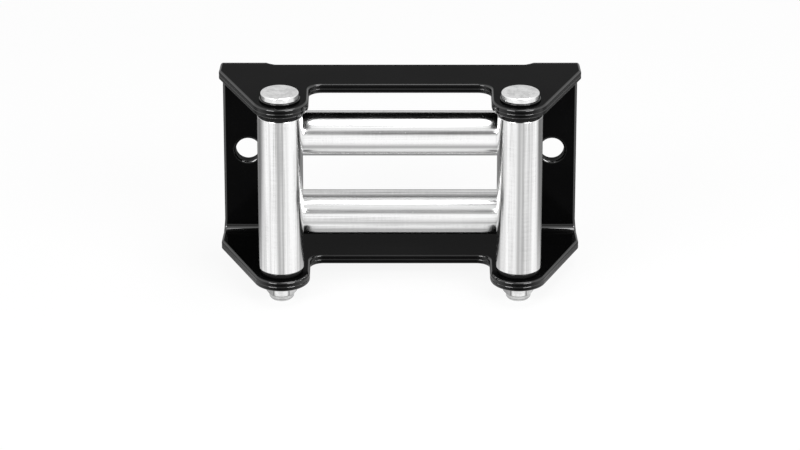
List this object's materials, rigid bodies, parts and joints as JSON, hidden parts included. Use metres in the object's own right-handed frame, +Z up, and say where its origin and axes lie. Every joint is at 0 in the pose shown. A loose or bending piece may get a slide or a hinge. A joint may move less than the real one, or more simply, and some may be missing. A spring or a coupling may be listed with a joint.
{
  "type": "roller fairlead",
  "caption": "Pressed black bracket with bright steel rollers, upright ones in front of level ones, that guide a winch rope whichever way it pulls; bolts on through its side wings.",
  "frame": {"origin": "middle of the two mounting holes, on the rear face of the bracket", "axes": "+X along the level rollers, +Y out of the rear mounting face, +Z up along the upright rollers; the rope leaves towards -Y"},
  "size_m": [0.1506, 0.059, 0.0924],
  "materials": {
    "black_paint": "gloss powder coat",
    "roller_steel": "bright turned tube",
    "zinc_plate": "satin zinc plate",
    "black_nylon": "satin",
    "insert_nylon": "satin"
  },
  "bodies": {
    "base": {"bracket": "black_paint", "left_pin": "zinc_plate", "left_pin_washer": "black_nylon", "left_pin_nut": "zinc_plate", "left_pin_nut_insert": "insert_nylon", "right_pin": "zinc_plate", "right_pin_washer": "black_nylon", "right_pin_nut": "zinc_plate", "right_pin_nut_insert": "insert_nylon", "upper_pin": "zinc_plate", "upper_pin_washer": "black_nylon", "upper_pin_nut": "zinc_plate", "upper_pin_nut_insert": "insert_nylon", "lower_pin": "zinc_plate", "lower_pin_washer": "black_nylon", "lower_pin_nut": "zinc_plate", "lower_pin_nut_insert": "insert_nylon"},
    "left_roller": {"left_roller_tube": "roller_steel", "left_roller_top_bush": "black_nylon", "left_roller_bottom_bush": "black_nylon"},
    "right_roller": {"right_roller_tube": "roller_steel", "right_roller_top_bush": "black_nylon", "right_roller_bottom_bush": "black_nylon"},
    "upper_roller": {"upper_roller_tube": "roller_steel", "upper_roller_left_bush": "black_nylon", "upper_roller_right_bush": "black_nylon"},
    "lower_roller": {"lower_roller_tube": "roller_steel", "lower_roller_left_bush": "black_nylon", "lower_roller_right_bush": "black_nylon"}
  },
  "joints": [
    {"name": "left_roller_spin", "type": "hinge", "parent": "base", "child": "left_roller", "pos_m": [-0.04925, -0.0472, 0], "axis": [0, 0, 1], "continuous": true},
    {"name": "right_roller_spin", "type": "hinge", "parent": "base", "child": "right_roller", "pos_m": [0.04925, -0.0472, 0], "axis": [0, 0, 1], "continuous": true},
    {"name": "upper_roller_spin", "type": "hinge", "parent": "base", "child": "upper_roller", "pos_m": [0, -0.0282, 0.01785], "axis": [1, 0, 0], "continuous": true},
    {"name": "lower_roller_spin", "type": "hinge", "parent": "base", "child": "lower_roller", "pos_m": [0, -0.0282, -0.01785], "axis": [1, 0, 0], "continuous": true}
  ]
}
